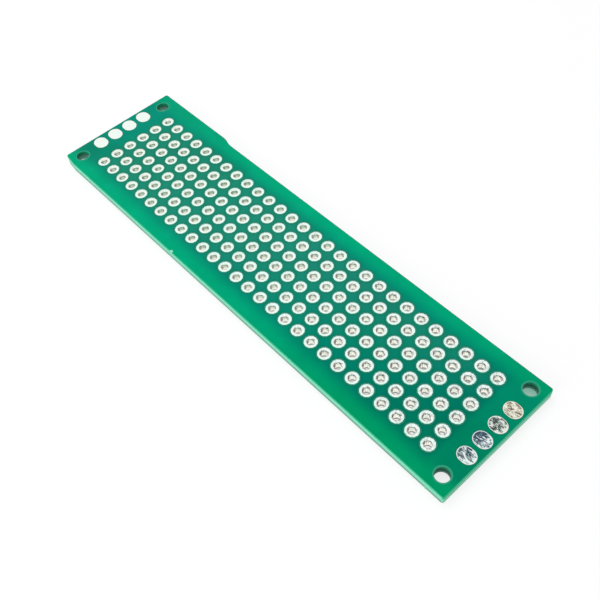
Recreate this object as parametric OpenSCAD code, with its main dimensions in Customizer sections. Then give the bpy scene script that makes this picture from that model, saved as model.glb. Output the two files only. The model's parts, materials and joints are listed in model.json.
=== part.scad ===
// Double-sided prototype board: a drilled strip of glass laminate with a solder mask on both faces,
// a grid of plated-through holes, oval solder pads across both ends and four screw holes.
// The origin is the centre of the hole grid, at the level that the lower pads stand on.

/* [Board] */
// Length of the board, along X
board_length = 80; // [60:0.5:120]
// Width of the board, along Y, without the proud stretch
board_width = 20; // [15:0.5:60]
// Thickness of the bare laminate
laminate_thick = 1.5; // [0.6:0.1:3.2]
// Radius of the board's upright corners
corner_radius = 0.3; // [0.1:0.05:1.5]
// How far the cut outline lies off the drilled pattern, across the board
outline_shift = -0.1; // [-0.3:0.05:0.3]

/* [Hole grid] */
// Distance between hole centres, both ways
hole_pitch = 2.54; // [2.3:0.01:5.08]
// Diameter of a finished hole
hole_diameter = 1; // [0.6:0.05:1.4]
// Diameter of the tinned ring round a hole
ring_diameter = 1.9; // [1.7:0.05:2]
// Least distance from the board's end to the first hole centre
end_strip = 5.5; // [5.2:0.1:10]
// Least distance from the board's long edge to the first hole centre
side_strip = 3.5; // [3:0.1:8]

/* [Plating] */
// Height of the tinned copper above the laminate
pad_height = 0.05; // [0.04:0.01:0.12]
// Wall of the copper barrel inside a hole
barrel_wall = 0.05; // [0.02:0.01:0.1]
// Clearance between a barrel and the drilled wall
barrel_clearance = 0.01; // [0.005:0.005:0.03]
// Radius where the tin turns over a pad's outer edge
pad_edge_radius = 0.03; // [0.01:0.005:0.035]
// Radius where a ring turns down into its hole
knee_radius = 0.06; // [0.03:0.01:0.1]

/* [End pads] */
// Length of an oval end pad, along X
end_pad_length = 2.5; // [2.3:0.1:3.5]
// Width of an oval end pad, along Y
end_pad_width = 2.1; // [1.2:0.1:2.2]
// Distance between the centres of neighbouring end pads
end_pad_pitch = 2.8; // [2.5:0.05:5]
// Laminate left between an end pad and the end of the board
end_pad_margin = 0.4; // [0.2:0.05:0.8]
// Least distance between an end pad and a screw hole
end_pad_hole_gap = 0.5; // [0.3:0.1:2]

/* [Screw holes] */
// Diameter of a screw hole
screw_hole_diameter = 2; // [1.5:0.1:3]
// Distance from a screw hole's centre to the board's end and to its long edge
screw_hole_inset = 2; // [1.9:0.1:3]

/* [Solder mask] */
// Thickness of the mask film
mask_thick = 0.03; // [0.015:0.005:0.035]
// Bare laminate left round a pad
mask_pad_gap = 0.075; // [0.03:0.005:0.12]
// Bare laminate left round a screw hole
mask_hole_gap = 0.2; // [0.05:0.05:0.3]
// Bare laminate left along the outline
mask_edge_gap = 0.06; // [0.02:0.01:0.09]

/* [Marks of the cutting] */
// Length of the stretch that the cutter left proud of one long edge
proud_length = 15.5; // [5:0.5:30]
// How far that stretch stands proud
proud_height = 0.45; // [0.1:0.05:1]
// Length of the ramp from it down to the edge
proud_ramp = 2.2; // [0.5:0.1:5]
// Length of the slight taper at the corner across from it
taper_length = 2.4; // [1.6:0.1:6]
// How far the taper draws in
taper_depth = 0.25; // [0.05:0.05:0.6]
// Distance of the chip in the lower long edge from the left end
chip_from_end = 28.4; // [10:0.1:50]
// Width of the chip along the edge
chip_width = 0.7; // [0.3:0.1:1.5]
// How far the chip reaches in from the edge
chip_reach = 0.35; // [0.15:0.05:0.8]
// Depth of the chip in the laminate
chip_depth = 0.12; // [0.05:0.01:0.4]
// Distance of the burr on the lower long edge from the right end
burr_from_end = 2.7; // [1:0.1:20]
// Width of the burr along the edge
burr_width = 0.4; // [0.2:0.1:1]
// How far the burr stands out
burr_reach = 0.12; // [0.05:0.01:0.3]
// Height of the burr on the cut wall
burr_height = 0.25; // [0.1:0.05:0.5]

/* [Hidden] */

// Facets of the round bodies, and steps of the small arcs in outlines and sections
$fn = 48;
corner_steps = 5;
ramp_steps = 8;
edge_steps = 3;

// Cutting solids reach this far past the faces that they cut
over = 1;

// Heights of the faces, from the lower pads up
laminate_low = pad_height;
laminate_top = laminate_low + laminate_thick;
pads_top = laminate_top + pad_height;

// Edges of the plain outline
x_edge = board_length / 2;
y_low = outline_shift - board_width / 2;
y_high = outline_shift + board_width / 2;

// Hole grid
rows = floor((board_length - 2 * end_strip) / hole_pitch) + 1;
holes_in_row = floor((board_width - 2 * side_strip) / hole_pitch) + 1;
barrel_radius = hole_diameter / 2 + barrel_wall;
drilled_radius = barrel_radius + barrel_clearance;

// Screw holes
screw_x = x_edge - screw_hole_inset;
screw_y = board_width / 2 - screw_hole_inset;

// End pads, as many as fit between the two screw holes of an end
end_pad_x = x_edge - end_pad_margin - end_pad_length / 2;
end_pad_span = 2 * (screw_y - screw_hole_diameter / 2 - end_pad_hole_gap);
end_pads = floor((end_pad_span - end_pad_width) / end_pad_pitch) + 1;

function row_x(row) = (row - (rows + 1) / 2) * hole_pitch;
function hole_y(hole) = (hole - (holes_in_row + 1) / 2) * hole_pitch;
function end_pad_y(i) = (i - (end_pads + 1) / 2) * end_pad_pitch;

// Points of an arc round a centre, from one angle to another
function arc(centre, radius, from, to, steps) =
    [for (i = [0 : steps]) let (angle = from + (to - from) * i / steps)
        centre + radius * [cos(angle), sin(angle)]];

// Smooth ramp up from the plain edge to the proud stretch, from right to left
function ramp(x_foot, y_foot) =
    [for (i = [0 : ramp_steps]) let (t = i / ramp_steps)
        [x_foot - proud_ramp * t, y_foot + proud_height * (1 - cos(180 * t)) / 2]];

// The cut outline, anticlockwise from the right end's lower corner and drawn in by a margin
function outline(margin) =
    let (right = x_edge - margin, left = -right, low = y_low + margin, high = y_high - margin,
         r = max(corner_radius - margin, 0.02), proud = high + proud_height,
         tapered = low + taper_depth, taper_angle = atan(taper_depth / taper_length))
    concat(
        arc([right - r, low + r], r, 270, 360, corner_steps),
        arc([right - r, high - r], r, 0, 90, corner_steps),
        ramp(left + proud_length + proud_ramp, high),
        arc([left + r, proud - r], r, 90, 180, corner_steps),
        arc([left + r, tapered + r], r, 180, 270 - taper_angle, corner_steps),
        [[left + taper_length, low]]
    );

// Puts its children at the four screw holes
module at_screw_holes() {
    for (x = [-screw_x, screw_x], y = [-screw_y, screw_y]) translate([x, y, 0]) children();
}

// Puts its children at every hole of one row
module at_row_holes(row) {
    for (hole = [1 : holes_in_row]) translate([row_x(row), hole_y(hole), 0]) children();
}

// Puts its children at every hole of the grid
module at_grid_holes() {
    for (row = [1 : rows]) at_row_holes(row) children();
}

// Puts its children at every end pad of one face
module at_end_pads() {
    for (x = [-end_pad_x, end_pad_x], i = [1 : end_pads])
        translate([x, end_pad_y(i), 0]) children();
}

// Flat oval with straight sides along X
module oval(length, width) {
    for (x = [-1, 1]) translate([x * (length - width) / 2, 0]) circle(d = width);
    square([length - width, width], center = true);
}

// Wedge that breaks the upper lower-edge corner of the board, grown by a margin
module chip(margin) {
    half = chip_width / 2 + margin;
    tip = chip_reach + margin;
    translate([chip_from_end - x_edge, y_low, laminate_top - chip_depth - margin])
        linear_extrude(chip_depth + over)
            polygon([[-half, -over], [half, -over], [half, 0],
                     [half / 2, tip * 0.8], [-half / 4, tip], [-half, 0]]);
}

// Sliver that the cutter left on the foot of the cut wall
module burr() {
    translate([x_edge - burr_from_end, y_low, laminate_low])
        linear_extrude(burr_height)
            polygon([[-burr_width / 2, 0], [0, -burr_reach], [burr_width / 2, 0], [0, burr_reach]]);
}

// The drilled substrate: a sheet of glass laminate, cut to its outline
module substrate() {
    color("#93d8b8")
    difference() {
        union() {
            translate([0, 0, laminate_low]) linear_extrude(laminate_thick) polygon(outline(0));
            burr();
        }
        at_grid_holes() cylinder(h = pads_top + over, r = drilled_radius);
        at_screw_holes() cylinder(h = pads_top + over, d = screw_hole_diameter);
        chip(0);
    }
}

// One printed film of solder mask, with its underside at a height
module mask_film(height) {
    translate([0, 0, height]) linear_extrude(mask_thick) difference() {
        polygon(outline(mask_edge_gap));
        at_grid_holes() circle(d = ring_diameter + 2 * mask_pad_gap);
        at_end_pads() oval(end_pad_length + 2 * mask_pad_gap, end_pad_width + 2 * mask_pad_gap);
        at_screw_holes() circle(d = screw_hole_diameter + 2 * mask_hole_gap);
    }
}

// Mask on the upper face, broken away a little round the chip
module solder_mask_top() {
    color("#0a9068")
    difference() {
        mask_film(laminate_top);
        chip(mask_edge_gap / 2);
    }
}

// Mask on the underside
module solder_mask_bottom() {
    color("#0a9068") mask_film(laminate_low - mask_thick);
}

// One plated hole: a barrel that turns out into a tinned ring on both faces
module plated_hole() {
    hole = hole_diameter / 2;
    ring = ring_diameter / 2;
    edge = pad_edge_radius;
    knee = knee_radius;
    rotate_extrude() polygon(concat(
        arc([hole + knee, knee], knee, 180, 270, edge_steps),
        arc([ring - edge, edge], edge, 270, 360, edge_steps),
        [[ring, laminate_low], [barrel_radius, laminate_low],
         [barrel_radius, laminate_top], [ring, laminate_top]],
        arc([ring - edge, pads_top - edge], edge, 0, 90, edge_steps),
        arc([hole + knee, pads_top - knee], knee, 90, 180, edge_steps)
    ));
}

// One row of plated holes across the board
module plated_hole_row(row) {
    color("#d9dcdc") at_row_holes(row) plated_hole();
}

// Half of an end pad's section, with the tin turned over its upper edge
function end_pad_section() =
    let (half = end_pad_width / 2, edge = pad_edge_radius)
    concat([[0, 0], [half, 0]],
           arc([half - edge, pad_height - edge], edge, 0, 90, edge_steps),
           [[0, pad_height]]);

// One oval end pad, lying on the level z = 0 with its rounded edge up
module end_pad() {
    straight = end_pad_length - end_pad_width;
    for (x = [-1, 1]) translate([x * straight / 2, 0, 0])
        rotate_extrude() polygon(end_pad_section());
    for (side = [0, 1]) mirror([0, side, 0])
        translate([-straight / 2, 0, 0]) rotate([90, 0, 90])
            linear_extrude(straight) polygon(end_pad_section());
}

// End pad i of one end and one face: end is -1 or 1 along X, face is -1 or 1 along Z
module placed_end_pad(end, face, i) {
    color("#d9dcdc")
    translate([end * end_pad_x, end_pad_y(i), face > 0 ? laminate_top : laminate_low])
        mirror([0, 0, face > 0 ? 0 : 1]) end_pad();
}

ENDS = [-1, 1];
FACES = [1, -1];
function row_name(row) = str("plated_hole_row_", row < 10 ? "0" : "", row);
function end_pad_name(end, face, i) =
    str(end > 0 ? "right" : "left", "_end_pad_", face > 0 ? "top_" : "bottom_", i);

substrate();
solder_mask_top();
solder_mask_bottom();
for (row = [1 : rows])
    plated_hole_row(row);
for (end = ENDS, face = FACES, i = [1 : end_pads])
    placed_end_pad(end, face, i);
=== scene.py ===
"""Looks of a double-sided prototype board: a drilled green strip with tinned holes, on a white table."""
import json
import math

import bpy
from mathutils import Euler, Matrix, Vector, noise


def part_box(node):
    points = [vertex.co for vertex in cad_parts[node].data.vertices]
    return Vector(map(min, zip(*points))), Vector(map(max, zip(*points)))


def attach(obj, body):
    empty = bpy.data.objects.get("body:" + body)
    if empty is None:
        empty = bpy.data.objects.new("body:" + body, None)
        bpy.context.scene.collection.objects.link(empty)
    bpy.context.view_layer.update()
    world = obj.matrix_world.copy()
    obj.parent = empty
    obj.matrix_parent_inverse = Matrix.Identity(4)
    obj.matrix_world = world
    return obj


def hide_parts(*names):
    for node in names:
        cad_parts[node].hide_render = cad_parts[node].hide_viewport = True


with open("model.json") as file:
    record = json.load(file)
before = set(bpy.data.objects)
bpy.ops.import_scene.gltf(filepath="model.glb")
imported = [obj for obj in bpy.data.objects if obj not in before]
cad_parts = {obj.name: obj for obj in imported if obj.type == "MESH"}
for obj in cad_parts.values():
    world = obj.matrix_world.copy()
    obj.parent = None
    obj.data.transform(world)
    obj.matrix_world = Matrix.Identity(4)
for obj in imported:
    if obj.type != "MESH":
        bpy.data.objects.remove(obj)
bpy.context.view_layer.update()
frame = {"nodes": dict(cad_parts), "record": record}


# The substrate. Woven glass cloth in epoxy, pressed into a sheet 1.5 mm thick, drilled and then cut
# to its outline. The cut wall is pale mint, and the drilled walls and bare rims are dark green.

MM = 0.001


def linear(hex_colour):
    """The linear colour of an sRGB hex value."""
    shares = [int(hex_colour[i:i + 2], 16) / 255 for i in (1, 3, 5)]
    return (*[s / 12.92 if s <= 0.04045 else ((s + 0.055) / 1.055) ** 2.4 for s in shares], 1.0)


def add(tree, kind, settings=None, inputs=None, stops=None):
    """Adds a node. An input takes a value, a socket or a node, which gives its first output."""
    node = tree.nodes.new(kind)
    for name, value in (settings or {}).items():
        setattr(node, name, value)
    for key, value in (inputs or {}).items():
        if isinstance(value, bpy.types.Node):
            value = next(s for s in value.outputs if s.enabled)
        if isinstance(value, bpy.types.NodeSocket):
            tree.links.new(value, node.inputs[key])
        else:
            node.inputs[key].default_value = value
    if stops:
        elements = node.color_ramp.elements
        while len(elements) < len(stops):
            elements.new(0.5)
        for element, (place, colour) in zip(elements, stops):
            element.position = place
            element.color = linear(colour)
    return node


def begin_finish(name):
    """A new material: itself, its empty tree, the object coordinates, and their x, y and z."""
    finish = bpy.data.materials.new(name)
    finish.use_nodes = True
    tree = finish.node_tree
    tree.nodes.clear()
    spot = add(tree, "ShaderNodeTexCoord").outputs["Object"]
    axes = add(tree, "ShaderNodeSeparateXYZ", inputs={0: spot}).outputs
    return finish, tree, spot, axes


def end_finish(tree, sockets):
    """Ends a material with its shader, whose sockets take values, sockets or nodes."""
    shader = add(tree, "ShaderNodeBsdfPrincipled", inputs=sockets)
    add(tree, "ShaderNodeOutputMaterial", inputs={"Surface": shader})


def dress(name, finish):
    """Gives a CAD node's object its finish."""
    slots = frame["nodes"][name].data.materials
    slots.clear()
    slots.append(finish)


board_low, board_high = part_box("substrate")
screw_dims = next(m["dims"] for m in frame["record"]["mounts"] if m["name"] == "screw_holes")
screw_place = (screw_dims["spacing_x_mm"] / 2 * MM, screw_dims["spacing_y_mm"] / 2 * MM, 0)
screw_radius = screw_dims["hole_r_mm"] * MM

# Epoxy and glass laminate. The saw leaves its cut wall matt and faintly layered. The wall is painted
# paler towards the top, a painted highlight, and grey along the foot, a painted shadow. Where the film
# stops short of a hole, its face shows.
cloth_layer = 0.11 * MM
streak_length = 2.2 * MM
saw_depth = 0.02 * MM
bare_rim = 0.3 * MM
bore_step = 0.03 * MM
face_step = 0.002 * MM
burr_reach = 0.12 * MM
wall_flatness = 0.02 * MM
corner_taper = 3 * MM
front_edge = board_low.y + 0.7 * MM
right_edge = board_high.x - bare_rim
laminate, tree, spot, (x, y, z) = begin_finish("epoxy_glass_laminate")
up_wall = add(tree, "ShaderNodeMapRange",
              inputs={"Value": z, "From Min": board_low.z, "From Max": board_high.z})
# Painted highlight towards the top of the cut wall, and painted shadow along its foot
wall = add(tree, "ShaderNodeValToRGB", inputs={"Fac": up_wall}, stops=[
    (0.0, "#4f8673"), (0.1, "#568d78"), (0.18, "#74bea2"), (0.5, "#86d2b6"), (0.62, "#8fecca"),
    (0.8, "#7ee6c0"), (0.92, "#18b883"), (1.0, "#0a9a6a")])
torn = add(tree, "ShaderNodeMath", {"operation": "COMPARE"},
           {0: y, 1: board_low.y + burr_reach, 2: wall_flatness})
torn = add(tree, "ShaderNodeMath", {"operation": "SUBTRACT"}, {0: 1.0, 1: torn})
in_front = add(tree, "ShaderNodeMath", {"operation": "LESS_THAN"}, {0: y, 1: front_edge})
torn = add(tree, "ShaderNodeMath", {"operation": "MULTIPLY"}, {0: torn, 1: in_front})
past_taper = add(tree, "ShaderNodeMath", {"operation": "GREATER_THAN"},
                 {0: x, 1: board_low.x + corner_taper})
torn = add(tree, "ShaderNodeMath", {"operation": "MULTIPLY"}, {0: torn, 1: past_taper})
wall = add(tree, "ShaderNodeMix", {"data_type": "RGBA"}, {0: torn, 6: wall, 7: linear("#b2f5dd")})
# The right end wall is painted with its own light and shade, a shaded copy of the front wall
end_wall = add(tree, "ShaderNodeValToRGB", inputs={"Fac": up_wall}, stops=[
    (0.0, "#84c0a0"), (0.25, "#80d6af"), (0.55, "#7eeac2"), (0.8, "#14b482"), (1.0, "#088f68")])
at_end = add(tree, "ShaderNodeMapRange", inputs={
    "Value": x, "From Min": right_edge, "From Max": right_edge + bare_rim / 2})
wall = add(tree, "ShaderNodeMix", {"data_type": "RGBA"}, {0: at_end, 6: wall, 7: end_wall})
layers = add(tree, "ShaderNodeVectorMath", {"operation": "DIVIDE"},
             {0: spot, 1: (streak_length, streak_length, cloth_layer)})
weave = add(tree, "ShaderNodeTexNoise", inputs={"Vector": layers, "Scale": 1.0, "Detail": 3.0})
weave_shade = add(tree, "ShaderNodeMapRange", inputs={
    "Value": weave, "From Min": 0.3, "From Max": 0.7, "To Min": 0.84, "To Max": 1.08})
wall = add(tree, "ShaderNodeVectorMath", {"operation": "SCALE"}, {0: wall, "Scale": weave_shade})
folded = add(tree, "ShaderNodeVectorMath", {"operation": "ABSOLUTE"}, {0: spot})
from_screw = add(tree, "ShaderNodeVectorMath", {"operation": "SUBTRACT"}, {0: folded, 1: screw_place})
from_screw = add(tree, "ShaderNodeVectorMath", {"operation": "MULTIPLY"},
                 {0: from_screw, 1: (1, 1, 0)})
screw_distance = add(tree, "ShaderNodeVectorMath", {"operation": "LENGTH"},
                     {0: from_screw}).outputs["Value"]
in_screw_hole = add(tree, "ShaderNodeMath", {"operation": "LESS_THAN"},
                    {0: screw_distance, 1: screw_radius + bore_step})
# The screw hole walls are green, with painted light and shade: pale at the foot, darkest a third of the
# way up, lighter towards the top
hole_wall = add(tree, "ShaderNodeValToRGB", inputs={"Fac": up_wall}, stops=[
    (0.0, "#9adccb"), (0.22, "#5fb09a"), (0.38, "#07503f"), (0.6, "#0a6f54"), (0.9, "#179a70"),
    (1.0, "#1fa97c")])
# At the left end the lower part of the screw hole walls is painted paler, painted light
at_left = add(tree, "ShaderNodeMath", {"operation": "LESS_THAN"}, {0: x, 1: 0.0})
left_foot_light = add(tree, "ShaderNodeMapRange", inputs={
    "Value": up_wall, "From Min": 0.2, "From Max": 0.7, "To Min": 0.7, "To Max": 0.0})
left_foot_light = add(tree, "ShaderNodeMath", {"operation": "MULTIPLY"}, {0: left_foot_light, 1: at_left})
hole_wall = add(tree, "ShaderNodeMix", {"data_type": "RGBA"},
                {0: left_foot_light, 6: hole_wall, 7: linear("#a9dccd")})
wall = add(tree, "ShaderNodeMix", {"data_type": "RGBA"}, {0: in_screw_hole, 6: wall, 7: hole_wall})
beside_screw = add(tree, "ShaderNodeMath", {"operation": "LESS_THAN"},
                   {0: screw_distance, 1: screw_radius + bare_rim})
face = add(tree, "ShaderNodeMix", {"data_type": "RGBA"},
           {0: beside_screw, 6: linear("#0a5a45"), 7: linear("#34a283")})
# Painted highlight: the top face is paler along the front and right edges
at_right = add(tree, "ShaderNodeMath", {"operation": "GREATER_THAN"}, {0: x, 1: right_edge})
lit_edge = add(tree, "ShaderNodeMath", {"operation": "MAXIMUM"}, {0: in_front, 1: at_right})
face = add(tree, "ShaderNodeMix", {"data_type": "RGBA"},
           {0: lit_edge, 6: face, 7: linear("#55d0a4")})
off_middle = add(tree, "ShaderNodeMath", {"operation": "COMPARE"},
                 {0: z, 1: (board_low.z + board_high.z) / 2,
                  2: (board_high.z - board_low.z) / 2 - face_step})
colour = add(tree, "ShaderNodeMix", {"data_type": "RGBA"}, {0: off_middle, 6: face, 7: wall})
rough = add(tree, "ShaderNodeBump", inputs={"Strength": 0.5, "Distance": saw_depth, "Height": weave})
end_finish(tree, {"Base Color": colour, "Roughness": 0.55, "Specular IOR Level": 0.08, "Normal": rough})
dress("substrate", laminate)


# The solder mask. A green photo-imaged resin, printed on both faces as a film 0.03 mm thick, with an
# opening at every pad and screw hole. It is glossy, and painted deeper green between the pads, a painted
# shade.

rows = sum(name.startswith("plated_hole_row_") for name in frame["nodes"])
first_low, first_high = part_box("plated_hole_row_01")
last_low, last_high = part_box(f"plated_hole_row_{rows:02d}")
ring_radius = (first_high.x - first_low.x) / 2
pitch = (last_low.x - first_low.x) / (rows - 1)
holes_in_row = round((first_high.y - first_low.y - 2 * ring_radius) / pitch) + 1
grid_half_x = (rows - 1) / 2 * pitch
grid_half_y = (holes_in_row - 1) / 2 * pitch


def from_hole_centre(tree, spot):
    """The offset from the axis of the nearest plated hole, and its length."""
    cell = add(tree, "ShaderNodeVectorMath", {"operation": "SCALE"}, {0: spot, "Scale": 1 / pitch})
    cell = add(tree, "ShaderNodeVectorMath", {"operation": "FRACTION"}, {0: cell})
    cell = add(tree, "ShaderNodeVectorMath", {"operation": "SUBTRACT"}, {0: cell, 1: (0.5, 0.5, 0)})
    cell = add(tree, "ShaderNodeVectorMath", {"operation": "MULTIPLY"}, {0: cell, 1: (pitch, pitch, 0)})
    return cell, add(tree, "ShaderNodeVectorMath", {"operation": "LENGTH"}, {0: cell}).outputs["Value"]


# Green resin film over laminate. It flows to an even gloss with a fine orange peel. Its colour carries
# painted light: the green is brighter along the long edges, where no copper lies near, and deepens
# slowly from the back left corner to the front right one, a painted fall-off of light.
fade_start = 0.5 * MM
fade_width = 2.5 * MM
light_fall_slant = -1.2
light_fall_from = -44 * MM
light_fall_to = 47 * MM
strip_half = 3 * MM
strip_from = 0.6 * MM
strip_to = 1.8 * MM
haze_slant = -3.0
haze_from = -2 * MM
haze_to = 30 * MM
haze_share = 0.035
ring_field = 0.2 * MM
ring_field_end = 1.1 * MM
peel_size = 0.6 * MM
peel_depth = 0.006 * MM
cloud_size = 3.5 * MM
film, tree, spot, (x, y, z) = begin_finish("green_solder_mask")
# Painted fall-off of light, along a line slanted from the back left to the front right
slanted = add(tree, "ShaderNodeMath", {"operation": "MULTIPLY"}, {0: y, 1: light_fall_slant})
along = add(tree, "ShaderNodeMath", {"operation": "ADD"}, {0: x, 1: slanted})
along = add(tree, "ShaderNodeMapRange", inputs={
    "Value": along, "From Min": light_fall_from, "From Max": light_fall_to})
margin = add(tree, "ShaderNodeValToRGB", inputs={"Fac": along}, stops=[
    (0.0, "#00a077"), (0.22, "#00a97b"), (0.43, "#00a97b"), (0.55, "#00a678"), (0.7, "#00a375"),
    (0.76, "#009d6f"), (0.88, "#009a65"), (1.0, "#009a67")])
between = add(tree, "ShaderNodeValToRGB", inputs={"Fac": along}, stops=[
    (0.0, "#028f77"), (0.09, "#048d74"), (0.13, "#08866c"), (0.25, "#088b71"), (0.45, "#088b74"),
    (0.6, "#048671"), (0.69, "#03886f"), (0.76, "#00816b"), (0.83, "#007a65"), (0.9, "#00785f")])
# Painted light: the strip beyond the last row is a little brighter, and more so towards the back.
across = add(tree, "ShaderNodeMapRange", inputs={
    "Value": y, "From Min": -strip_half, "From Max": strip_half})
end_strip = add(tree, "ShaderNodeMix", {"data_type": "RGBA"},
                {0: across, 6: linear("#008461"), 7: linear("#008b6a")})
past_rows = add(tree, "ShaderNodeMapRange", {"interpolation_type": "SMOOTHSTEP"}, {
    "Value": x, "From Min": grid_half_x + strip_from, "From Max": grid_half_x + strip_to})
between = add(tree, "ShaderNodeMix", {"data_type": "RGBA"}, {0: past_rows, 6: between, 7: end_strip})
folded = add(tree, "ShaderNodeVectorMath", {"operation": "ABSOLUTE"}, {0: spot})
folded_x, folded_y, _ = add(tree, "ShaderNodeSeparateXYZ", inputs={0: folded}).outputs
# A faint pale grey-brown tint among the rings, at the left end and along the back.
slanted = add(tree, "ShaderNodeMath", {"operation": "MULTIPLY"}, {0: y, 1: haze_slant})
haze = add(tree, "ShaderNodeMath", {"operation": "ADD"}, {0: x, 1: slanted})
haze = add(tree, "ShaderNodeMapRange", inputs={
    "Value": haze, "From Min": haze_from, "From Max": haze_to, "To Min": haze_share, "To Max": 0.0})
for distance, grid_half in ((folded_x, grid_half_x), (folded_y, grid_half_y)):
    among_rings = add(tree, "ShaderNodeMapRange", {"interpolation_type": "SMOOTHSTEP"}, {
        "Value": distance, "From Min": grid_half + ring_field, "From Max": grid_half + ring_field_end,
        "To Min": 1.0, "To Max": 0.0})
    haze = add(tree, "ShaderNodeMath", {"operation": "MULTIPLY"}, {0: haze, 1: among_rings})
between = add(tree, "ShaderNodeMix", {"data_type": "RGBA"},
              {0: haze, 6: between, 7: linear("#908c74")})
in_margin = add(tree, "ShaderNodeMapRange", {"interpolation_type": "SMOOTHSTEP"}, {
    "Value": folded_y, "From Min": grid_half_y + fade_start,
    "From Max": grid_half_y + fade_start + fade_width})
green = add(tree, "ShaderNodeMix", {"data_type": "RGBA"}, {0: in_margin, 6: between, 7: margin})
# The film is painted darkest just beyond a ring, a painted shade, and thins to a pale lip where it meets
# it.
_, ring_distance = from_hole_centre(tree, spot)
in_grid_x = add(tree, "ShaderNodeMath", {"operation": "LESS_THAN"},
                {0: folded_x, 1: grid_half_x + pitch / 2})
in_grid_y = add(tree, "ShaderNodeMath", {"operation": "LESS_THAN"},
                {0: folded_y, 1: grid_half_y + pitch / 2})
in_grid = add(tree, "ShaderNodeMath", {"operation": "MULTIPLY"}, {0: in_grid_x, 1: in_grid_y})
for start, end, share, tone in ((0.12, 0.42, 0.45, "#005f49"), (0.04, 0.2, 0.62, "#56bc9c")):
    beside_ring = add(tree, "ShaderNodeMapRange", {"interpolation_type": "SMOOTHSTEP"}, {
        "Value": ring_distance, "From Min": ring_radius + start * MM,
        "From Max": ring_radius + end * MM, "To Min": share, "To Max": 0.0})
    beside_ring = add(tree, "ShaderNodeMath", {"operation": "MULTIPLY"}, {0: beside_ring, 1: in_grid})
    green = add(tree, "ShaderNodeMix", {"data_type": "RGBA"},
                {0: beside_ring, 6: green, 7: linear(tone)})
cloud = add(tree, "ShaderNodeTexNoise",
            inputs={"Vector": spot, "Scale": 1 / cloud_size, "Detail": 4.0, "Roughness": 0.6})
cloud_shade = add(tree, "ShaderNodeMapRange", inputs={
    "Value": cloud, "From Min": 0.3, "From Max": 0.7, "To Min": 0.93, "To Max": 1.06})
green = add(tree, "ShaderNodeVectorMath", {"operation": "SCALE"}, {0: green, "Scale": cloud_shade})
peel = add(tree, "ShaderNodeTexNoise", inputs={"Vector": spot, "Scale": 1 / peel_size})
peel = add(tree, "ShaderNodeBump", inputs={"Strength": 0.3, "Distance": peel_depth, "Height": peel})
end_finish(tree, {"Base Color": green, "Roughness": 0.24, "Specular IOR Level": 0.035,
                  "Specular Tint": linear("#18c48c"), "Normal": peel})
dress("solder_mask_top", film)
dress("solder_mask_bottom", film)


# The plated holes. Each is a copper barrel that turns out into a ring on both faces, dipped in
# molten tin and blown level. 28 rows of 6 stand through the substrate on one pitch.

ring_segments = 12
hole_radius = 0.5 * MM
barrel_outer = 0.55 * MM
tin_spread = 0.035 * MM
rim_round = 0.015 * MM
face_drop = 0.008 * MM
mouth_width = 0.06 * MM
mouth_depth = 0.09 * MM
rim_wobble = 0.05 * MM
wobble_size = 0.8 * MM

# Hot-levelled tin over copper. It cools bright and a little uneven. Painted shade darkens the back left
# half of each barrel, and brown painted shade lies round the front left of its mouth. A painted
# reflection of the green film lies over the outer rim. The solder mask laps against the outer edge of
# each ring and colours it green.
lap_foot = 0.022 * MM
lap_top = 0.01 * MM
brown_from = -20 * MM
brown_to = 30 * MM
pale_from = -34 * MM
pale_to = -14 * MM
unshaded_from = -0.05 * MM
unshaded_to = 0.2 * MM
fleck_size = 0.28 * MM
flecks_from = 8 * MM
flecks_to = 36 * MM
rim_shade_size = 0.45 * MM
rim_shade_wander = 0.1 * MM
rim_shade_edge = 0.56 * MM
rim_shade_end = 0.68 * MM
rim_step = 0.01 * MM
front_from = -0.35 * MM
front_to = 0.3 * MM
mouth_shade_size = 0.5 * MM
mouth_shade_radius = 0.57 * MM
mouth_shade_reach = 0.08 * MM
front_left_from = 0.2 * MM
front_left_to = 0.42 * MM
mouth_start = 0.52 * MM
mouth_end = 0.62 * MM
rim_reflection_start = 0.79 * MM
rim_reflection_end = 0.98 * MM
smooth_step = 0.03 * MM
dimple_depth = 0.015 * MM


def film_lap(tree, z):
    """1 low on the outer edge of a pad, where the film lies against it, and 0 on the pad's face."""
    from_middle = add(tree, "ShaderNodeMath", {"operation": "SUBTRACT"},
                      {0: z, 1: (board_low.z + board_high.z) / 2})
    from_middle = add(tree, "ShaderNodeMath", {"operation": "ABSOLUTE"}, {0: from_middle})
    face_height = (last_high.z - last_low.z) / 2
    return add(tree, "ShaderNodeMapRange", inputs={
        "Value": from_middle, "From Min": face_height - lap_foot, "From Max": face_height - lap_top,
        "To Min": 1.0, "To Max": 0.0})


tin, tree, spot, (x, y, z) = begin_finish("hot_levelled_tin")
hole_offset, hole_distance = from_hole_centre(tree, spot)
# Painted shade inside a barrel: a band that is brown and low at the right end, and grey-green and higher
# at the left
up_barrel = add(tree, "ShaderNodeMapRange", inputs={
    "Value": z, "From Min": first_low.z, "From Max": first_high.z})
brown_barrel_shade = add(tree, "ShaderNodeValToRGB", inputs={"Fac": up_barrel}, stops=[
    (0.0, "#7f7e72"), (0.23, "#86847a"), (0.33, "#f6f4e8"), (0.7, "#f8f6eb"), (0.8, "#fffaf4"),
    (1.0, "#f4fffd")])
grey_barrel_shade = add(tree, "ShaderNodeValToRGB", inputs={"Fac": up_barrel}, stops=[
    (0.0, "#e6efdf"), (0.4, "#d6decd"), (0.5, "#b8c3af"), (0.64, "#6a7c64"), (0.84, "#e0ecd8"),
    (0.9, "#ffffff"), (1.0, "#e4fff5")])
toward_right = add(tree, "ShaderNodeMapRange", {"interpolation_type": "SMOOTHSTEP"}, {
    "Value": x, "From Min": brown_from, "From Max": brown_to, "To Min": 0.2, "To Max": 1.0})
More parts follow.
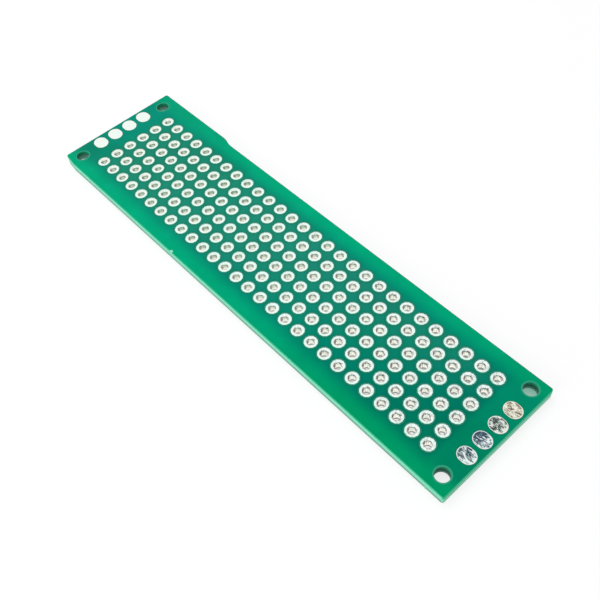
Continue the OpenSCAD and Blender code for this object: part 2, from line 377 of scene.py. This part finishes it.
# Towards the left end the painted shade in the barrels is paler
left_barrel_shade = add(tree, "ShaderNodeValToRGB", inputs={"Fac": up_barrel}, stops=[
    (0.0, "#8c9984"), (0.5, "#949f8b"), (0.62, "#c4cfbb"), (0.78, "#ffffff"), (1.0, "#f6fbee")])
toward_left = add(tree, "ShaderNodeMapRange", inputs={
    "Value": x, "From Min": pale_from, "From Max": pale_to, "To Min": 0.95, "To Max": 0.0})
grey_barrel_shade = add(tree, "ShaderNodeMix", {"data_type": "RGBA"},
                {0: toward_left, 6: grey_barrel_shade, 7: left_barrel_shade})
sheen = add(tree, "ShaderNodeMix", {"data_type": "RGBA"},
            {0: toward_right, 6: grey_barrel_shade, 7: brown_barrel_shade})
# The front right half of the barrel has no painted shade
unshaded_half = add(tree, "ShaderNodeVectorMath", {"operation": "DOT_PRODUCT"},
                {0: hole_offset, 1: (0.707, -0.707, 0)}).outputs["Value"]
unshaded_half = add(tree, "ShaderNodeMapRange", {"interpolation_type": "SMOOTHSTEP"}, {
    "Value": unshaded_half, "From Min": unshaded_from, "From Max": unshaded_to})
sheen = add(tree, "ShaderNodeMix", {"data_type": "RGBA"},
            {0: unshaded_half, 6: sheen, 7: linear("#f6fffa")})
# Grey flecks on the rings, which are many only at the right end
flecks = add(tree, "ShaderNodeTexNoise", inputs={
    "Vector": spot, "Scale": 1 / fleck_size, "Detail": 3.0, "Distortion": 1.0})
fleck_share = add(tree, "ShaderNodeMapRange", {"interpolation_type": "SMOOTHSTEP"}, {
    "Value": flecks, "From Min": 0.49, "From Max": 0.6, "To Max": 0.4})
fleck_reach = add(tree, "ShaderNodeMapRange", {"interpolation_type": "SMOOTHSTEP"}, {
    "Value": x, "From Min": flecks_from, "From Max": flecks_to, "To Min": 0.12, "To Max": 1.0})
fleck_share = add(tree, "ShaderNodeMath", {"operation": "MULTIPLY"}, {0: fleck_share, 1: fleck_reach})
sheen = add(tree, "ShaderNodeMix", {"data_type": "RGBA"},
            {0: fleck_share, 6: sheen, 7: linear("#7a8a82")})
# Painted shade: brown on the front of the inner rim, and dark all round the mouth
rim_shade_noise = add(tree, "ShaderNodeTexNoise", inputs={"Vector": spot, "Scale": 1 / rim_shade_size, "Detail": 2.0})
rim_shade_reach = add(tree, "ShaderNodeMapRange", inputs={
    "Value": rim_shade_noise, "From Min": 0.3, "From Max": 0.7, "To Min": -rim_shade_wander, "To Max": rim_shade_wander})
rim_shade_reach = add(tree, "ShaderNodeMath", {"operation": "ADD"}, {0: hole_distance, 1: rim_shade_reach})
rim_shade_share = add(tree, "ShaderNodeMapRange", {"interpolation_type": "SMOOTHSTEP"}, {
    "Value": rim_shade_reach, "From Min": rim_shade_edge, "From Max": rim_shade_end, "To Min": 0.5, "To Max": 0.0})
front_side = add(tree, "ShaderNodeVectorMath", {"operation": "DOT_PRODUCT"},
                 {0: hole_offset, 1: (0.0, -1.0, 0.0)}).outputs["Value"]
front_side = add(tree, "ShaderNodeMapRange", {"interpolation_type": "SMOOTHSTEP"}, {
    "Value": front_side, "From Min": front_from, "From Max": front_to})
front_rim = add(tree, "ShaderNodeMath", {"operation": "GREATER_THAN"},
                {0: hole_distance, 1: hole_radius + rim_step})
front_rim = add(tree, "ShaderNodeMath", {"operation": "MULTIPLY"}, {0: front_rim, 1: front_side})
mouth_shade_noise = add(tree, "ShaderNodeTexNoise", inputs={
    "Vector": spot, "Scale": 1 / mouth_shade_size, "Detail": 2.0, "Distortion": 1.5})
mouth_shade_share = add(tree, "ShaderNodeMapRange", {"interpolation_type": "SMOOTHSTEP"}, {
    "Value": mouth_shade_noise, "From Min": 0.52, "From Max": 0.58, "To Max": 0.6})
on_mouth = add(tree, "ShaderNodeMath", {"operation": "COMPARE"},
               {0: hole_distance, 1: mouth_shade_radius, 2: mouth_shade_reach})
for share, place, tone in ((rim_shade_share, front_rim, "#8b7c6f"), (mouth_shade_share, on_mouth, "#4f453c")):
    share = add(tree, "ShaderNodeMath", {"operation": "MULTIPLY"}, {0: share, 1: place})
    share = add(tree, "ShaderNodeMath", {"operation": "MULTIPLY"}, {0: share, 1: toward_right})
    sheen = add(tree, "ShaderNodeMix", {"data_type": "RGBA"}, {0: share, 6: sheen, 7: linear(tone)})
# The painted shade is darkest at the front left of the mouth, and runs down into the barrel there
front_left_shade = add(tree, "ShaderNodeVectorMath", {"operation": "DOT_PRODUCT"},
                 {0: hole_offset, 1: (-0.616, -0.788, 0)}).outputs["Value"]
front_left_shade = add(tree, "ShaderNodeMapRange", {"interpolation_type": "SMOOTHSTEP"}, {
    "Value": front_left_shade, "From Min": front_left_from, "From Max": front_left_to, "To Max": 0.9})
near_mouth = add(tree, "ShaderNodeMapRange", {"interpolation_type": "SMOOTHSTEP"}, {
    "Value": hole_distance, "From Min": mouth_start, "From Max": mouth_end,
    "To Min": 1.0, "To Max": 0.0})
upper_half = add(tree, "ShaderNodeMapRange", {"interpolation_type": "SMOOTHSTEP"}, {
    "Value": up_barrel, "From Min": 0.3, "From Max": 0.52})
for share in (near_mouth, upper_half, toward_right):
    front_left_shade = add(tree, "ShaderNodeMath", {"operation": "MULTIPLY"}, {0: front_left_shade, 1: share})
sheen = add(tree, "ShaderNodeMix", {"data_type": "RGBA"},
            {0: front_left_shade, 6: sheen, 7: linear("#6a5f57")})
# A painted reflection of the green film over the outer rim, and the film laps against its edge
rim_reflection = add(tree, "ShaderNodeMapRange", {"interpolation_type": "SMOOTHSTEP"}, {
    "Value": hole_distance, "From Min": rim_reflection_start, "From Max": rim_reflection_end, "To Max": 0.66})
sheen = add(tree, "ShaderNodeMix", {"data_type": "RGBA"},
            {0: rim_reflection, 6: sheen, 7: linear("#58f0c6")})
outside = add(tree, "ShaderNodeMath", {"operation": "GREATER_THAN"},
              {0: hole_distance, 1: (hole_radius + ring_radius) / 2})
lap = add(tree, "ShaderNodeMath", {"operation": "MULTIPLY"}, {0: film_lap(tree, z), 1: outside})
sheen = add(tree, "ShaderNodeMix", {"data_type": "RGBA"}, {0: lap, 6: sheen, 7: linear("#0d7a5c")})
# The barrel is smoother than the rings
roughness = add(tree, "ShaderNodeMapRange", inputs={
    "Value": hole_distance, "From Min": hole_radius, "From Max": hole_radius + smooth_step,
    "To Min": 0.14, "To Max": 0.3})
dimples = add(tree, "ShaderNodeBump",
              inputs={"Strength": 0.4, "Distance": dimple_depth, "Height": flecks})
end_finish(tree, {"Base Color": sheen, "Metallic": 1.0, "Roughness": roughness, "Normal": dimples})

# The section of the upper half, from the ring's outer foot in to the barrel: radius and height
top = first_high.z
tin_radius = ring_radius + tin_spread
upper_section = [
    (tin_radius, board_high.z),
    (tin_radius - rim_round, top - face_drop),
    (hole_radius + mouth_width, top - face_drop),
    (hole_radius, top - mouth_depth),
]
lower_section = [(radius, top - height) for radius, height in reversed(upper_section)]
section = upper_section + lower_section + [(barrel_outer, board_low.z), (barrel_outer, board_high.z)]
turns = [k * 2 * math.pi / ring_segments for k in range(ring_segments)]
points = [(r * math.cos(a), r * math.sin(a), h) for a in turns for r, h in section]
count = len(section)
faces = [(k * count + i, (k + 1) % ring_segments * count + i,
          (k + 1) % ring_segments * count + (i + 1) % count, k * count + (i + 1) % count)
         for k in range(ring_segments) for i in range(count)]
one_hole = bpy.data.meshes.new("one_plated_hole")
one_hole.from_pydata(points, [], faces)
one_hole.polygons.foreach_set("use_smooth", [True] * len(faces))
# 0 on the barrel and 1 on the outer rim, which alone is free to wander
looseness = one_hole.attributes.new("looseness", "FLOAT", "POINT")
looseness.data.foreach_set("value", [
    min(1.0, max(0.0, (math.hypot(px, py) - barrel_outer) / (ring_radius - barrel_outer)))
    for px, py, _ in points])

# The holes stand on a grid, and the outer rims wander a little from hole to hole
grid_tree = bpy.data.node_groups.new("plated_hole_grid", "GeometryNodeTree")
grid_inputs = {
    "Rows": ("NodeSocketInt", rows),
    "Holes in a row": ("NodeSocketInt", holes_in_row),
    "Pitch": ("NodeSocketFloat", pitch),
    "Rim wobble": ("NodeSocketFloat", rim_wobble),
    "Wobble size": ("NodeSocketFloat", wobble_size),
    "Finish": ("NodeSocketMaterial", tin),
}
grid_tree.interface.new_socket("One hole", in_out="INPUT", socket_type="NodeSocketGeometry")
identifiers = {
    name: grid_tree.interface.new_socket(name, in_out="INPUT", socket_type=kind).identifier
    for name, (kind, _) in grid_inputs.items()}
grid_tree.interface.new_socket("Plated holes", in_out="OUTPUT", socket_type="NodeSocketGeometry")
given = add(grid_tree, "NodeGroupInput").outputs
row_gaps = add(grid_tree, "ShaderNodeMath", {"operation": "SUBTRACT"}, {0: given["Rows"], 1: 1.0})
hole_gaps = add(grid_tree, "ShaderNodeMath", {"operation": "SUBTRACT"},
                {0: given["Holes in a row"], 1: 1.0})
size_x = add(grid_tree, "ShaderNodeMath", {"operation": "MULTIPLY"}, {0: row_gaps, 1: given["Pitch"]})
size_y = add(grid_tree, "ShaderNodeMath", {"operation": "MULTIPLY"}, {0: hole_gaps, 1: given["Pitch"]})
centres = add(grid_tree, "GeometryNodeMeshGrid", inputs={
    "Size X": size_x, "Size Y": size_y,
    "Vertices X": given["Rows"], "Vertices Y": given["Holes in a row"]})
placed = add(grid_tree, "GeometryNodeInstanceOnPoints",
             inputs={"Points": centres.outputs["Mesh"], "Instance": given["One hole"]})
solid = add(grid_tree, "GeometryNodeRealizeInstances", inputs={"Geometry": placed})
fineness = add(grid_tree, "ShaderNodeMath", {"operation": "DIVIDE"}, {0: 1.0, 1: given["Wobble size"]})
where = add(grid_tree, "GeometryNodeInputPosition")
drift = add(grid_tree, "ShaderNodeTexNoise",
            inputs={"Vector": where, "Scale": fineness, "Detail": 2.0}).outputs["Color"]
drift = add(grid_tree, "ShaderNodeVectorMath", {"operation": "SUBTRACT"}, {0: drift, 1: (0.5, 0.5, 0.5)})
drift = add(grid_tree, "ShaderNodeVectorMath", {"operation": "MULTIPLY"}, {0: drift, 1: (2.0, 2.0, 0.0)})
loose = add(grid_tree, "GeometryNodeInputNamedAttribute", {"data_type": "FLOAT"}, {"Name": "looseness"})
reach = add(grid_tree, "ShaderNodeMath", {"operation": "MULTIPLY"}, {0: loose, 1: given["Rim wobble"]})
drift = add(grid_tree, "ShaderNodeVectorMath", {"operation": "SCALE"}, {0: drift, "Scale": reach})
uneven = add(grid_tree, "GeometryNodeSetPosition", inputs={"Geometry": solid, "Offset": drift})
tinned = add(grid_tree, "GeometryNodeSetMaterial",
             inputs={"Geometry": uneven, "Material": given["Finish"]})
add(grid_tree, "NodeGroupOutput", inputs={0: tinned})

pattern = bpy.data.objects.new("plated_hole_pattern", one_hole)
bpy.context.scene.collection.objects.link(pattern)
modifier = pattern.modifiers.new("grid", "NODES")
modifier.node_group = grid_tree
for name, (_, value) in grid_inputs.items():
    modifier[identifiers[name]] = value
bpy.context.view_layer.update()
holes_mesh = bpy.data.meshes.new_from_object(
    pattern.evaluated_get(bpy.context.evaluated_depsgraph_get()))
bpy.data.objects.remove(pattern)
plated_holes = bpy.data.objects.new("plated_holes", holes_mesh)
bpy.context.scene.collection.objects.link(plated_holes)
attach(plated_holes, "root")
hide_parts(*[f"plated_hole_row_{row:02d}" for row in range(1, rows + 1)])


# The end pads. Four flat ovals of tinned copper lie across each end, on both faces. The blown tin is
# smooth on most of them, and rumpled like creased foil on the right ones of the top face.

pad_segments = 48
pad_rings = 12
rumple_size = 0.42 * MM
crease_size = 0.3 * MM
fold_size = 0.8 * MM
scratch_size = 0.3 * MM
crease_depth = 0.03 * MM
dome_drop = 0.15
smooth_rumple = 0.005 * MM
creased_rumple = 0.016 * MM
lean_from = 37.1 * MM
lean_to = 39.6 * MM


def pad_finish(name, bright, middle, dark, spread, lean):
    """Tin over a pad: its bright, middle and dark shades, painted reflections of the creased tin, how
    far the dark spreads, its lean to -X.
    """
    finish, tree, spot, (x, y, z) = begin_finish(name)
    stretched = add(tree, "ShaderNodeMapping", inputs={
        "Vector": spot, "Rotation": (0, 0, math.radians(-25)), "Scale": (0.7, 1.2, 1.0)})
    folds = add(tree, "ShaderNodeTexNoise", inputs={
        "Vector": stretched, "Scale": 1 / fold_size, "Detail": 1.0, "Distortion": 1.5})
    creases = add(tree, "ShaderNodeTexNoise", inputs={
        "Vector": stretched, "Scale": 1 / crease_size, "Detail": 4.0, "Roughness": 0.65,
        "Distortion": 2.2})
    creases = add(tree, "ShaderNodeMix", {"data_type": "FLOAT"}, {0: 0.5, 2: creases, 3: folds})
    across = add(tree, "ShaderNodeMapRange", inputs={
        "Value": x, "From Min": lean_from, "From Max": lean_to, "To Min": lean, "To Max": -lean})
    creases = add(tree, "ShaderNodeMath", {"operation": "ADD"}, {0: creases, 1: across})
    # Painted reflection: the creases are painted dark, leaning towards one side
    dark_reflection = add(tree, "ShaderNodeMapRange", {"interpolation_type": "SMOOTHSTEP"}, {
        "Value": creases, "From Min": 0.5 - spread, "From Max": 0.66 - spread})
    scratched = add(tree, "ShaderNodeMapping", inputs={
        "Vector": spot, "Rotation": (0, 0, math.radians(-35)), "Scale": (0.45, 2.2, 1.0)})
    scratches = add(tree, "ShaderNodeTexNoise", inputs={
        "Vector": scratched, "Scale": 1 / scratch_size, "Detail": 2.0, "Distortion": 0.6})
    unscratched = add(tree, "ShaderNodeMapRange", {"interpolation_type": "SMOOTHSTEP"}, {
        "Value": scratches, "From Min": 0.53, "From Max": 0.62, "To Min": 1.0, "To Max": 0.15})
    dark_reflection = add(tree, "ShaderNodeMath", {"operation": "MULTIPLY"}, {0: dark_reflection, 1: unscratched})
    rim = add(tree, "ShaderNodeAttribute", {"attribute_name": "toward_rim"}).outputs["Fac"]
    inside_rim = add(tree, "ShaderNodeMapRange", {"interpolation_type": "SMOOTHSTEP"}, {
        "Value": rim, "From Min": 0.86, "From Max": 0.95, "To Min": 1.0, "To Max": 0.1})
    dark_reflection = add(tree, "ShaderNodeMath", {"operation": "MULTIPLY"}, {0: dark_reflection, 1: inside_rim})
    shades = add(tree, "ShaderNodeValToRGB", inputs={"Fac": dark_reflection}, stops=[
        (0.0, bright), (0.2, bright), (0.5, middle), (0.9, dark)])
    shades = add(tree, "ShaderNodeMix", {"data_type": "RGBA"},
                 {0: film_lap(tree, z), 6: shades, 7: linear("#0d7a5c")})
    bump = add(tree, "ShaderNodeBump",
               inputs={"Strength": 0.6, "Distance": crease_depth, "Height": creases})
    end_finish(tree, {"Base Color": shades, "Metallic": 1.0, "Roughness": 0.32, "Normal": bump})
    return finish


# Smooth blown tin, and rumpled tin whose painted reflections go from beige at the upper pad to blue-grey
# at the others
smooth_tin = pad_finish("smooth_blown_tin", "#f1fcf4", "#e6f0e6", "#cbd7c8", -0.06, 0.0)
rumpled_tin = [
    pad_finish("rumpled_tin_cool", "#e8f4f0", "#8d9fa6", "#35444f", 0.09, 0.04),
    pad_finish("rumpled_tin_blue", "#e6efee", "#7f929e", "#3f5263", 0.13, 0.1),
    pad_finish("rumpled_tin_grey", "#e6ede4", "#949f9b", "#444d4b", 0.09, 0.05),
    pad_finish("rumpled_tin_warm", "#eef0e0", "#bdb39d", "#7d7060", 0.08, 0.0),
]


def end_pad(name, finish, rumple):
    """One oval pad within the box of its CAD node, with its tin rumpled by a height."""
    low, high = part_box(name)
    centre = (low + high) / 2
    radius = (high.y - low.y) / 2 + tin_spread
    straight = (high.x - low.x) / 2 + tin_spread - radius
    thick = high.z - low.z
    upward = 1 if centre.z > (board_low.z + board_high.z) / 2 else -1
    foot = low.z if upward > 0 else high.z
    points, shares = [(centre.x, centre.y, foot)], [0.0]
    levels = [(1.0, 0.0), (1.0, 0.6), (0.985, 0.9)]
    levels += [(1 - k / pad_rings, 1.0) for k in range(1, pad_rings)]
    for share, level in levels:
        for k in range(pad_segments):
            angle = (k + 0.5) * 2 * math.pi / pad_segments
            px = centre.x + share * (math.copysign(straight, math.cos(angle)) + radius * math.cos(angle))
            py = centre.y + share * radius * math.sin(angle)
            crease = noise.noise(Vector((px, py, centre.z)) / rumple_size) * 0.5 + 0.5
            dome = 1 - dome_drop * share ** 4
            height = level * (thick * dome - rumple * crease * (1 - share ** 6))
            points.append((px, py, foot + upward * height))
            shares.append(share)
    crease = noise.noise(Vector((centre.x, centre.y, centre.z)) / rumple_size) * 0.5 + 0.5
    points.append((centre.x, centre.y, foot + upward * (thick - rumple * crease)))
    shares.append(0.0)
    tip = len(points) - 1
    faces = []
    for k in range(pad_segments):
        after = (k + 1) % pad_segments
        faces.append((0, 1 + after, 1 + k))
        for level in range(len(levels) - 1):
            ring, above = 1 + level * pad_segments, 1 + (level + 1) * pad_segments
            faces.append((ring + k, ring + after, above + after, above + k))
        faces.append((tip - pad_segments + k, tip - pad_segments + after, tip))
    if upward < 0:
        faces = [face[::-1] for face in faces]
    mesh = bpy.data.meshes.new(name)
    mesh.from_pydata(points, [], faces)
    mesh.polygons.foreach_set("use_smooth", [True] * len(faces))
    rim = mesh.attributes.new("toward_rim", "FLOAT", "POINT")
    rim.data.foreach_set("value", shares)
    mesh.materials.append(finish)
    pad = bpy.data.objects.new("tinned_" + name, mesh)
    bpy.context.scene.collection.objects.link(pad)
    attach(pad, "root")
    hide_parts(name)


for name in sorted(n for n in frame["nodes"] if "_end_pad_" in n):
    if name.startswith("right_end_pad_top_"):
        end_pad(name, rumpled_tin[int(name[-1]) - 1], creased_rumple)
    else:
        end_pad(name, smooth_tin, smooth_rumple)


# The table and the light. A white table under an even white tent of light, a soft lamp over the
# left end and a low one in front, which lights the cut wall.

tent_level = 0.62
table_glow = 0.76
table_seen_colour = "#8a8a8a"
table_size = 4.0
table_gap = 0.02 * MM
edge_light = 1 * MM
shade_slant = -0.25
shade_from = -8 * MM


def seen_directly(tree):
    """1 for rays from the camera and for what metal and gloss mirror, and 0 for the light itself."""
    path = add(tree, "ShaderNodeLightPath").outputs
    mirrored = add(tree, "ShaderNodeMath", {"operation": "MAXIMUM"},
                   {0: path["Is Glossy Ray"], 1: path["Is Transmission Ray"]})
    return add(tree, "ShaderNodeMath", {"operation": "MAXIMUM"}, {0: path["Is Camera Ray"], 1: mirrored})


tent = bpy.data.worlds.new("white_tent")
tent.use_nodes = True
tent.node_tree.nodes.clear()
strength = add(tent.node_tree, "ShaderNodeMapRange",
               inputs={"Value": seen_directly(tent.node_tree), "To Min": tent_level, "To Max": 1.0})
background = add(tent.node_tree, "ShaderNodeBackground",
                 inputs={"Color": linear("#ffffff"), "Strength": strength})
add(tent.node_tree, "ShaderNodeOutputWorld", inputs={"Surface": background})
bpy.context.scene.world = tent

# White melamine, matt. What looks at it sees a bright sweep with a weak shadow on it, while the
# light that it gives the board is that of a plain white top. Through the screw holes at the back
# and at the left it looks grey-green, because little light comes in under the board there.
melamine, tree, spot, (x, y, z) = begin_finish("white_melamine")
seen = seen_directly(tree)
top_colour = add(tree, "ShaderNodeMix", {"data_type": "RGBA"},
                 {0: seen, 6: linear("#e6e6e6"), 7: linear(table_seen_colour)})
by_camera = add(tree, "ShaderNodeLightPath").outputs["Is Camera Ray"]
folded = add(tree, "ShaderNodeVectorMath", {"operation": "ABSOLUTE"}, {0: spot})
folded = add(tree, "ShaderNodeVectorMath", {"operation": "SUBTRACT"},
             {0: folded, 1: (board_high.x - edge_light, board_high.y - edge_light, 0)})
beyond = add(tree, "ShaderNodeSeparateXYZ", inputs={0: folded}).outputs
beyond = add(tree, "ShaderNodeMath", {"operation": "MAXIMUM"}, {0: beyond[0], 1: beyond[1]})
under_board = add(tree, "ShaderNodeMath", {"operation": "LESS_THAN"}, {0: beyond, 1: 0.0})
behind = add(tree, "ShaderNodeMath", {"operation": "MULTIPLY"}, {0: x, 1: shade_slant})
behind = add(tree, "ShaderNodeMath", {"operation": "ADD"}, {0: y, 1: behind})
behind = add(tree, "ShaderNodeMapRange", inputs={
    "Value": behind, "From Min": shade_from, "From Max": 0.0})
shade = add(tree, "ShaderNodeMath", {"operation": "MULTIPLY"}, {0: under_board, 1: behind})
shade = add(tree, "ShaderNodeMath", {"operation": "MULTIPLY"}, {0: shade, 1: by_camera})
glow_colour = add(tree, "ShaderNodeMix", {"data_type": "RGBA"},
                  {0: shade, 6: linear("#ffffff"), 7: linear("#68ab92")})
glow = add(tree, "ShaderNodeMapRange",
           inputs={"Value": by_camera, "To Min": 1.0, "To Max": table_glow})
sweep = add(tree, "ShaderNodeMath", {"operation": "MULTIPLY"}, {0: seen, 1: glow})
end_finish(tree, {"Base Color": top_colour, "Roughness": 0.9, "Specular IOR Level": 0.0,
                  "Emission Color": glow_colour, "Emission Strength": sweep})
half = table_size / 2
table_mesh = bpy.data.meshes.new("table")
table_mesh.from_pydata([(px, py, -table_gap) for px, py in (
    (-half, -half), (half, -half), (half, half), (-half, half))], [], [(0, 1, 2, 3)])
table_mesh.materials.append(melamine)
table = bpy.data.objects.new("table", table_mesh)
bpy.context.scene.collection.objects.link(table)


def lamp(name, place, aim, size, power):
    """A square soft lamp."""
    light = bpy.data.lights.new(name, "AREA")
    light.size = size
    light.energy = power
    made = bpy.data.objects.new(name, light)
    made.location = place
    made.visible_glossy = False
    made.rotation_euler = (Vector(aim) - Vector(place)).to_track_quat("-Z", "Y").to_euler()
    bpy.context.scene.collection.objects.link(made)


lamp("overhead_lamp", (-0.10, 0.02, 0.26), (-0.01, 0, 0), 0.2, 0.24)
lamp("front_lamp", (0.02, -0.30, 0.12), (0, 0, 0), 0.16, 0.36)


# The camera, fitted to the hole grid in the photograph
eye = (58.90, -41.18, 87.72)
turn = (36.316, 3.960, 47.616)
camera = bpy.data.cameras.new("camera")
camera.sensor_width = 36.0
camera.lens = 47.66
camera.clip_start = 0.005
camera_object = bpy.data.objects.new("camera", camera)
camera_object.location = [value * MM for value in eye]
camera_object.rotation_euler = Euler([math.radians(value) for value in turn], "XYZ")
bpy.context.scene.collection.objects.link(camera_object)
bpy.context.scene.camera = camera_object
bpy.context.scene.view_settings.view_transform = "Standard"
